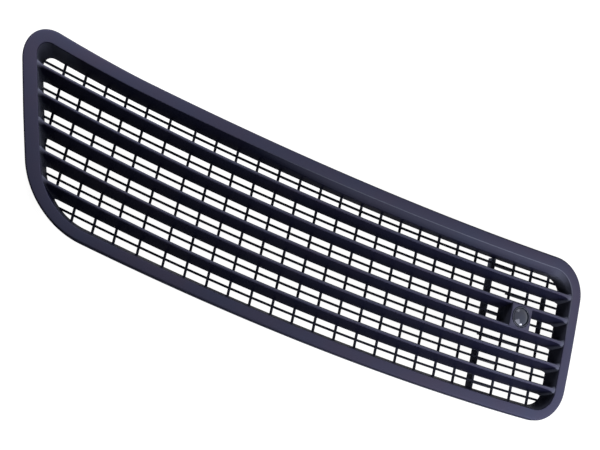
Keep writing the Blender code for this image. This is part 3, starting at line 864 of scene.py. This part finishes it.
def lattice_tree():
    """Runs a rounded bar across at each seat and a wire between the slats, trimmed to the inner walls."""
    inputs = [
        ("Bar Width", "NodeSocketFloat", BAR_WIDTH),
        ("Wire Width", "NodeSocketFloat", WIRE_WIDTH),
        ("Thickness", "NodeSocketFloat", LATTICE_THICKNESS),
        ("Round", "NodeSocketFloat", MOULD_ROUND),
        ("Height", "NodeSocketFloat", 0.0),
        ("Wires", "NodeSocketInt", SLATS + 1),
        ("Pitch", "NodeSocketFloat", SLAT_PITCH),
        ("Lowest Wire", "NodeSocketFloat", 0.0),
        ("Walls", "NodeSocketObject", None),
        ("Plastic", "NodeSocketMaterial", None),
    ]
    t = Tree("lattice", inputs)
    sheet = t.add("GeometryNodeObjectInfo", Object=t.given("Walls")).outputs["Geometry"]

    def rod(width, start, end, stations):
        section = t.add("GeometryNodeCurvePrimitiveQuadrilateral", Width=width, Height=t.given("Thickness"))
        rounded = t.add("GeometryNodeFilletCurve", Curve=section.outputs[0], Radius=t.given("Round"),
                        Limit_Radius=True)
        rounded.mode = "POLY"
        t.feed(rounded.inputs["Count"], 2)
        return t.add("GeometryNodeCurveToMesh", Curve=t.path(start, end, stations),
                     Profile_Curve=rounded.outputs[0], Fill_Caps=True).outputs[0]

    def trimmed(rods, axis):
        x, across, height = t.parts(t.add("GeometryNodeInputPosition").outputs[0])
        base = t.given("Height")
        if axis == 0:
            source, share = t.vector(0.0, across, base), x
            low = t.wall_hit(sheet, source, (-1.0, 0.0, 0.0))[0]
            high = t.wall_hit(sheet, source, (1.0, 0.0, 0.0))[0]
        else:
            source, share = t.vector(x, 0.0, base), across
            low = t.wall_hit(sheet, source, (0.0, -1.0, 0.0))[1]
            high = t.wall_hit(sheet, source, (0.0, 1.0, 0.0))[1]
        along = t.mixed(t.math("ADD", share, 0.5), low, high)
        level = t.math("ADD", height, base)
        moved = t.vector(along, across, level) if axis == 0 else t.vector(x, along, level)
        return t.add("GeometryNodeSetPosition", Geometry=rods, Position=moved).outputs[0]

    bar = rod(t.given("Bar Width"), (0.0, -0.5, 0.0), (0.0, 0.5, 0.0), BAR_STATIONS)
    bars = t.placed(bar, t.given("Geometry"))
    wire = rod(t.given("Wire Width"), (-0.5, 0.0, 0.0), (0.5, 0.0, 0.0), WIRE_STATIONS)
    seats = t.add("GeometryNodeMeshLine", Count=t.given("Wires"),
                  Start_Location=t.vector(0.0, t.given("Lowest Wire"), 0.0),
                  Offset=t.vector(0.0, t.given("Pitch"), 0.0)).outputs[0]
    wires = t.placed(wire, seats)
    both = t.add("GeometryNodeJoinGeometry")
    t.feed(both.inputs[0], trimmed(bars, 1))
    t.feed(both.inputs[0], trimmed(wires, 0))
    t.finish(both.outputs[0], t.given("Plastic"))
    return t


def make_lattice(material, walls):
    """Upright bars and thin cross wires behind the louvres."""
    mesh = bpy.data.meshes.new("bar_seats")
    mesh.from_pydata([(bar_x(index), 0.0, 0.0) for index in range(1, BARS + 1)], [], [])
    base = bpy.data.objects.new("bar_seats", mesh)
    bpy.context.scene.collection.objects.link(base)
    level = -DEPTH + LATTICE_REAR_GAP + LATTICE_THICKNESS / 2.0
    return grown("lattice", base, lattice_tree(),
                 {"Height": level, "Lowest Wire": wire_across(0), "Walls": walls, "Plastic": material})


# Boss, jet, ribs and clips


def boss_frame():
    """Where the boss sits: between two slats."""
    return frame_on_hood(BOSS_X, MIDDLE_ACROSS + SLAT_PITCH / 2.0, 0.0)


def boss_square(half_x, half_y, height):
    """Rectangle with the boss's round corners at a height."""
    points = []
    for quarter, (sx, sy) in enumerate(((1, 1), (-1, 1), (-1, -1), (1, -1))):
        for step in range(SQUARE_CORNER_STEPS + 1):
            angle = math.pi / 2.0 * (quarter + step / SQUARE_CORNER_STEPS)
            points.append(Vector((sx * (half_x - BOSS_CORNER) + BOSS_CORNER * math.cos(angle),
                                  sy * (half_y - BOSS_CORNER) + BOSS_CORNER * math.sin(angle), height)))
    return points


def circle_like(points, radius, height):
    """Circle at a height with as many points as a given loop."""
    turns = [2.0 * math.pi * (step + 0.5) / len(points) for step in range(len(points))]
    return [Vector((radius * math.cos(turn), radius * math.sin(turn), height)) for turn in turns]


def boss_loops():
    """Loops of the boss's section: its outside from the back up, its mouth, and its inside down again."""
    half_x, half_y = BOSS_WIDTH / 2.0, SLAT_PITCH / 2.0
    bottom = -DEPTH - WALL / 2.0
    top = BOSS_PROUD
    outside = [boss_square(half_x + BOSS_DRAFT, half_y + BOSS_DRAFT, bottom)]
    below_top = 3.0 * MOULD_ROUND
    draft = below_top / (top - bottom) * BOSS_DRAFT
    outside.append(boss_square(half_x + draft, half_y + draft, top - below_top))
    for inset, height in rounding((0.0, top - MOULD_ROUND), (MOULD_ROUND, top), MOULD_STEPS):
        outside.append(boss_square(half_x - inset, half_y - inset, height))
    guide = outside[0]
    mouth = [circle_like(guide, SOCKET_RADIUS + MOULD_ROUND / 2.0, top),
             circle_like(guide, SOCKET_RADIUS, top - MOULD_ROUND / 2.0)]
    floor = -SOCKET_DEPTH
    under = floor - SOCKET_FLOOR
    inside = [circle_like(guide, SOCKET_RADIUS, floor), circle_like(guide, BORE_RADIUS, floor),
              circle_like(guide, BORE_RADIUS, under),
              boss_square(half_x - WALL, half_y - WALL, under),
              boss_square(half_x - WALL, half_y - WALL, bottom)]
    return outside, mouth, inside


def make_boss(material):
    """Square tower with a socket for the jet at the front and a room for its hose behind."""
    outside, mouth, inside = boss_loops()
    bm = bmesh.new()
    skinned(bm, outside + mouth + inside, closed=True)
    return object_from("boss", bm, material)


def make_boss_room():
    """Everything inside the boss's walls: cuts the louvres and the lattice where they pass the boss."""
    mouth, inside = boss_loops()[1:]
    past_end = Vector((0.0, 0.0, 4.0 * BOSS_CORNER))
    top = [point + past_end for point in mouth[1]]
    low = [point - past_end for point in inside[-1]]
    bm = bmesh.new()
    skinned(bm, [top] + inside[:-1] + [low], closed=False)
    return object_from("boss_room", bm)


def cleared(piece, cutter):
    """Cuts a piece away where it runs into the boss."""
    cut = piece.modifiers.new("cut", "BOOLEAN")
    cut.operation = "DIFFERENCE"
    cut.solver = "EXACT"
    cut.object = cutter
    graph = bpy.context.evaluated_depsgraph_get()
    graph.update()
    mesh = bpy.data.meshes.new_from_object(piece.evaluated_get(graph))
    piece.modifiers.clear()
    piece.data = mesh


def make_jet(material):
    """Turned insert: collar, groove and dome at the front, a hose nipple behind."""
    collar = SOCKET_RADIUS - CLEARANCE
    floor = -SOCKET_DEPTH + CLEARANCE
    sphere = (DOME_RADIUS ** 2 + DOME_RISE ** 2) / (2.0 * DOME_RISE)
    lean = math.asin(DOME_RADIUS / sphere)
    arc = [lean * share for share in DOME_ARC]
    profile = [(sphere * math.sin(angle), DOME_RISE - sphere * (1.0 - math.cos(angle))) for angle in arc]
    inner = collar - JET_COLLAR_WIDTH
    round_off = JET_COLLAR_WIDTH / 3.0
    corner = round_off * MIDDLE_OF_ROUND
    profile += [
        (DOME_RADIUS, -JET_GROOVE_DEPTH),
        (inner, -JET_GROOVE_DEPTH),
        (inner, JET_COLLAR_PROUD - round_off),
        (inner + corner, JET_COLLAR_PROUD - corner),
        (inner + round_off, JET_COLLAR_PROUD),
        (collar - round_off, JET_COLLAR_PROUD),
        (collar - corner, JET_COLLAR_PROUD - corner),
        (collar, JET_COLLAR_PROUD - round_off),
        (collar, floor + MOULD_ROUND),
        (collar - MOULD_ROUND, floor),
        (NIPPLE_RADIUS, floor),
        (NIPPLE_RADIUS, floor - NIPPLE_LENGTH + MOULD_ROUND),
        (NIPPLE_RADIUS - MOULD_ROUND, floor - NIPPLE_LENGTH),
    ]
    turns = [2.0 * math.pi * step / JET_STEPS for step in range(JET_STEPS)]
    bm = bmesh.new()
    skinned(bm, [[Vector((radius * math.cos(turn), radius * math.sin(turn), height)) for turn in turns]
                 for radius, height in profile], closed=False)
    return object_from("jet", bm, material)


def soften(bm, edges):
    """Rounds edges a little, as moulded."""
    bmesh.ops.bevel(bm, geom=edges, offset=MOULD_ROUND / 2.0, segments=2, affect="EDGES", profile=0.5)


def add_block(bm, low, high):
    """Block with softened edges between two corners."""
    size = Vector(high) - Vector(low)
    middle = Matrix.Translation((Vector(high) + Vector(low)) / 2.0)
    made = bmesh.ops.create_cube(bm, size=1.0, matrix=middle @ Matrix.Diagonal((*size, 1.0)))
    soften(bm, list({edge for vertex in made["verts"] for edge in vertex.link_edges}))


def make_ribs(material):
    """Deeper ribs behind the lattice near the jet: uprights, a clip for the hose, and rungs."""
    front = -DEPTH + LATTICE_THICKNESS
    stiff_x, side_x = bar_x(STIFF_BAR), bar_x(SIDE_BAR)
    half = RIB_WIDTH / 2.0
    ends = WALL / 2.0
    bm = bmesh.new()
    for low, high in ((REAR["bottom"] - ends, STIFF_RIB_GAP[0]), (STIFF_RIB_GAP[1], REAR["top"] + ends)):
        add_block(bm, (stiff_x - half, low, -DEPTH - STIFF_RIB_DEPTH), (stiff_x + half, high, front))
    tail_middle = SLAT_TAIL / 2.0 - SLAT_RAKE
    clip_low, clip_high = slat_across(1) + tail_middle, slat_across(0) + tail_middle
    add_block(bm, (side_x - half, slat_across(2), -DEPTH - SIDE_RIB_DEPTH),
              (side_x + half, clip_high, front))
    add_block(bm, (side_x - half - HOSE_CLIP_WIDTH, clip_low, -DEPTH - SIDE_RIB_DEPTH / 2.0),
              (side_x, clip_high - half, front - LATTICE_THICKNESS / 3.0))
    for offset, bays in enumerate(RUNG_BAYS):
        left, right = bar_x(STIFF_BAR + offset) - half, bar_x(STIFF_BAR + offset + 1) + half
        for bay in bays:
            low, high = wire_across(bay) - WIRE_WIDTH / 2.0, wire_across(bay) + WIRE_WIDTH / 2.0
            add_block(bm, (left, low, -DEPTH - RUNG_DEPTH), (right, high, front))
    return object_from("ribs", bm, material)


def make_clips(material):
    """Snap clips under the rim: flat tongues with a wedge on their outer sides."""
    half = CLIP_THICKNESS / 2.0
    end = -CLIP_LENGTH + FINISH_INSET
    hook = (half + CLIP_HOOK, end + CLIP_HOOK_HEIGHT / 2.0)
    profile = [(-half, -WALL / 2.0), (-half, end), (half, end), hook, (half, end + CLIP_HOOK_HEIGHT),
               (half, -WALL / 2.0)]
    top, bottom = TOP_ACROSS - RIM_WIDTH["top"] / 2.0, BOTTOM_ACROSS + RIM_WIDTH["bottom"] / 2.0
    bm = bmesh.new()
    for side, middle in ((1, top), (-1, bottom)):
        for x in CLIP_X:
            seat = frame_on_hood(x, middle, 0.0)
            skinned(bm, [[seat @ Vector((dx, side * a, h)) for a, h in profile]
                         for dx in (-CLIP_WIDTH / 2.0, CLIP_WIDTH / 2.0)], closed=False)
    bmesh.ops.recalc_face_normals(bm, faces=bm.faces)
    soften(bm, list(bm.edges))
    return object_from("clips", bm, material)


# Floor, sky, lamps and camera


def background_rays(tree):
    """1 for what is seen directly, mirrored or through a surface, and 0 for soft light on the grille."""
    rays = node(tree, "ShaderNodeLightPath").outputs
    direct = combined(tree, "MAXIMUM", rays["Is Camera Ray"], rays["Is Glossy Ray"])
    return combined(tree, "MAXIMUM", direct, rays["Is Transmission Ray"])


def make_floor():
    """Pale floor that looks white and keeps the shadow."""
    bm = bmesh.new()
    bmesh.ops.create_grid(bm, x_segments=1, y_segments=1, size=FLOOR_SIZE)
    material = bpy.data.materials.new("white_ground")
    material.use_nodes = True
    tree = material.node_tree
    tree.nodes.remove(tree.nodes["Principled BSDF"])
    matt = node(tree, "ShaderNodeBsdfDiffuse")
    matt.inputs["Color"].default_value = (FLOOR_GREY, FLOOR_GREY, FLOOR_GREY, 1.0)
    glow = node(tree, "ShaderNodeEmission")
    glow.inputs["Color"].default_value = (1.0, 1.0, 1.0, 1.0)
    strength = node(tree, "ShaderNodeMath", operation="MULTIPLY")
    tree.links.new(background_rays(tree), strength.inputs[0])
    strength.inputs[1].default_value = FLOOR_GLOW
    tree.links.new(strength.outputs[0], glow.inputs["Strength"])
    both = node(tree, "ShaderNodeAddShader")
    tree.links.new(matt.outputs[0], both.inputs[0])
    tree.links.new(glow.outputs[0], both.inputs[1])
    tree.links.new(both.outputs[0], tree.nodes["Material Output"].inputs["Surface"])
    floor = object_from("ground", bm, material)
    floor.location.z = -FLOOR_DROP
    floor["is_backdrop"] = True


def make_sky():
    """White backdrop that gives the grille only a little soft light."""
    world = bpy.data.worlds.new("studio")
    bpy.context.scene.world = world
    world.use_nodes = True
    tree = world.node_tree
    soft = tree.nodes["Background"]
    white = node(tree, "ShaderNodeBackground")
    for light, strength in ((soft, SKY_LIGHT), (white, 1.0)):
        light.inputs["Color"].default_value = (1.0, 1.0, 1.0, 1.0)
        light.inputs["Strength"].default_value = strength
    either = node(tree, "ShaderNodeMixShader")
    tree.links.new(background_rays(tree), either.inputs[0])
    tree.links.new(soft.outputs[0], either.inputs[1])
    tree.links.new(white.outputs[0], either.inputs[2])
    tree.links.new(either.outputs[0], tree.nodes["World Output"].inputs["Surface"])


def make_lamp(name, place, target, width, power):
    """Square soft lamp at a place, turned towards a target."""
    data = bpy.data.lights.new(name, "AREA")
    data.shape = "SQUARE"
    data.size = width
    data.energy = power
    lamp = bpy.data.objects.new(name, data)
    lamp.location = place
    lamp.rotation_euler = (Vector(target) - Vector(place)).to_track_quat("-Z", "Y").to_euler()
    bpy.context.scene.collection.objects.link(lamp)


def make_camera():
    """Camera at the photograph's viewing angle."""
    data = bpy.data.cameras.new("camera")
    data.sensor_width = 36.0
    data.lens = CAMERA_LENS
    data.shift_x, data.shift_y = -CAMERA_SHIFT, CAMERA_SHIFT
    camera = bpy.data.objects.new("camera", data)
    camera.matrix_world = Matrix.Translation(CAMERA_PLACE) @ Matrix(CAMERA_TURN).to_4x4()
    bpy.context.scene.collection.objects.link(camera)
    bpy.context.scene.camera = camera


# Assembly

plastic = moulded_plastic()
gloss = polished_plastic()
rim = make_rim(plastic)
walls = make_wall_middle()
bpy.context.view_layer.update()
louvres = make_louvres(plastic, walls)
lattice = make_lattice(plastic, walls)
bpy.data.objects.remove(walls, do_unlink=True)

bent_to_hood(rim, Vector((0.0, 0.0, 0.0)))
points = [vertex.co for vertex in rim.data.vertices]
low, high = (Vector([limit(point[axis] for point in points) for axis in range(3)]) for limit in (min, max))
cad_low, cad_high = (Vector(corner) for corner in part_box("grille"))
origin = (cad_low + cad_high) / 2.0 - (low + high) / 2.0
origin.z = cad_high.z - high.z
for vertex in rim.data.vertices:
    vertex.co += origin
ribs = make_ribs(plastic)
for piece in (louvres, lattice, ribs):
    bent_to_hood(piece, origin)
boss = make_boss(plastic)
room = make_boss_room()
jet = make_jet(gloss)
clips = make_clips(plastic)
for piece in (boss, room, jet):
    bent_to_hood(piece, origin, boss_frame())
bent_to_hood(clips, origin, Matrix.Identity(4))
for piece in (louvres, lattice, ribs):
    cleared(piece, room)
bpy.data.objects.remove(room, do_unlink=True)
for piece in (rim, louvres, lattice, ribs, boss, clips, jet):
    smooth(piece)
    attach(piece, "root")
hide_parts("grille")
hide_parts("washer_jet")

make_floor()
make_sky()
for lamp in LAMPS:
    make_lamp(*lamp)
make_camera()
bpy.context.scene.view_settings.view_transform = "Standard"

low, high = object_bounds()
